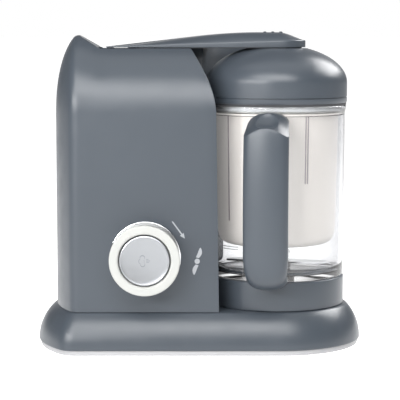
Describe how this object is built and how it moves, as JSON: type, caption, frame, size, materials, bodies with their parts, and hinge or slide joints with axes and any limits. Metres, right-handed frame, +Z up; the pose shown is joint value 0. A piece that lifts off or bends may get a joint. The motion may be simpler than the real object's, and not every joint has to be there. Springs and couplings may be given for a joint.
{
  "type": "baby food maker",
  "caption": "Countertop steamer-blender for baby food: grey housing with knob, clear jug with handle and basket, domed lid and hinged steam arm.",
  "frame": {"origin": "under the middle of the whole, on the surface that it stands on", "axes": "+Z up, +X towards the jug, -Y towards the user: the knob faces -Y"},
  "size_m": [0.266, 0.1688, 0.2562],
  "materials": {
    "housing_grey": "satin moulded slate grey plastic",
    "base_strip": "satin off-white plastic",
    "knob_white": "smooth off-white plastic",
    "button_silver": "silver lacquered plastic",
    "clear_jug": "clear, smooth, graduated jug wall",
    "basket_cream": "satin cream plastic",
    "polished_steel": "polished stainless steel",
    "plain_steel": "plain bright steel",
    "bearing_bronze": "sintered bronze",
    "black_rubber": "matte black rubber",
    "seal_silicone": "soft translucent grey silicone",
    "dark_plastic": "matte dark grey plastic",
    "board_green": "solder-masked circuit board"
  },
  "bodies": {
    "base": {"base_shell": "housing_grey", "base_plate": "base_strip", "foot_1": "black_rubber", "foot_2": "black_rubber", "foot_3": "black_rubber", "foot_4": "black_rubber", "base_screw_1": "plain_steel", "base_screw_2": "plain_steel", "base_screw_3": "plain_steel", "base_screw_4": "plain_steel", "body_screw_1": "plain_steel", "body_screw_2": "plain_steel", "body_screw_3": "plain_steel", "body_screw_4": "plain_steel", "body_shell": "housing_grey", "lid_shield": "housing_grey", "knob_bezel": "button_silver", "boiler_tank": "polished_steel", "boiler_collar": "dark_plastic", "boiler_heater": "plain_steel", "thermostat": "dark_plastic", "motor_mount": "plain_steel", "motor_can": "plain_steel", "selector_switch": "dark_plastic", "control_board": "board_green", "cord_inlet": "black_rubber", "hinge_pin": "plain_steel", "drive_belt": "black_rubber", "interlock_switch": "dark_plastic", "drive_bearing_upper": "bearing_bronze", "drive_bearing_lower": "bearing_bronze"},
    "arm": {"arm_cover": "housing_grey", "arm_liner": "dark_plastic", "steam_duct": "seal_silicone", "boiler_seal": "seal_silicone", "steam_seal": "seal_silicone"},
    "knob": {"knob_ring": "knob_white", "knob_shaft": "plain_steel", "button_spring": "plain_steel"},
    "button": {"steam_button": "button_silver"},
    "jug_ring": {"lock_ring": "dark_plastic"},
    "jug": {"bowl_base_ring": "housing_grey", "bowl_wall": "clear_jug", "bowl_seal": "seal_silicone", "bowl_handle": "housing_grey"},
    "basket": {"steam_basket": "basket_cream"},
    "lid": {"lid_dome": "housing_grey", "lid_liner": "knob_white", "lid_seal": "seal_silicone"},
    "drive": {"drive_spindle": "plain_steel", "drive_pulley": "dark_plastic", "drive_coupling": "black_rubber"},
    "blades": {"blade_hub": "dark_plastic", "blade_low": "polished_steel", "blade_spacer": "dark_plastic", "blade_high": "polished_steel", "blade_cap": "dark_plastic"},
    "motor_rotor": {"motor_shaft": "plain_steel", "motor_pulley": "dark_plastic"}
  },
  "joints": [
    {"name": "arm_hinge", "type": "hinge", "parent": "base", "child": "arm", "pos_m": [-0.07445, 0.01489, 0.2395], "axis": [0, -1, 0], "range_deg": [0, 105]},
    {"name": "jug_turn", "type": "hinge", "parent": "base", "child": "jug_ring", "pos_m": [0.06355, 0.01489, 0.033], "axis": [0, 0, 1], "range_deg": [0, 30]},
    {"name": "jug_lift", "type": "slide", "parent": "jug_ring", "child": "jug", "axis": [0, 0, 1], "range_m": [0, 0.04005]},
    {"name": "basket_lift", "type": "slide", "parent": "jug", "child": "basket", "axis": [0, 0, 1], "range_m": [0, 0.11605]},
    {"name": "lid_lift", "type": "slide", "parent": "jug", "child": "lid", "axis": [0, 0, 1], "range_m": [0, 0.16105]},
    {"name": "blade_spin", "type": "hinge", "parent": "base", "child": "drive", "pos_m": [0.06355, 0.01489, 0.04], "axis": [0, 0, 1], "continuous": true},
    {"name": "blade_lift", "type": "slide", "parent": "drive", "child": "blades", "axis": [0, 0, 1], "range_m": [0, 0.04005]},
    {"name": "motor_spin", "type": "hinge", "parent": "base", "child": "motor_rotor", "pos_m": [-0.06745, 0.01489, 0.06], "axis": [0, 0, 1], "continuous": true},
    {"name": "knob_turn", "type": "hinge", "parent": "base", "child": "knob", "pos_m": [-0.04295, -0.05511, 0.0779], "axis": [0, 1, 0], "range_deg": [0, 50], "stiffness_Nm_per_rad": 0.08},
    {"name": "button_press", "type": "slide", "parent": "knob", "child": "button", "axis": [0, 1, 0], "range_m": [0, 0.0025], "stiffness_N_per_m": 900}
  ],
  "couplings": [
    {"joint": "jug_lift", "follows": "arm_hinge", "m_per_rad": 0.021827},
    {"joint": "basket_lift", "follows": "arm_hinge", "m_per_rad": 0.063298},
    {"joint": "lid_lift", "follows": "arm_hinge", "m_per_rad": 0.087854},
    {"joint": "blade_lift", "follows": "arm_hinge", "m_per_rad": 0.021827},
    {"joint": "motor_spin", "follows": "blade_spin", "ratio": 2.6667}
  ]
}
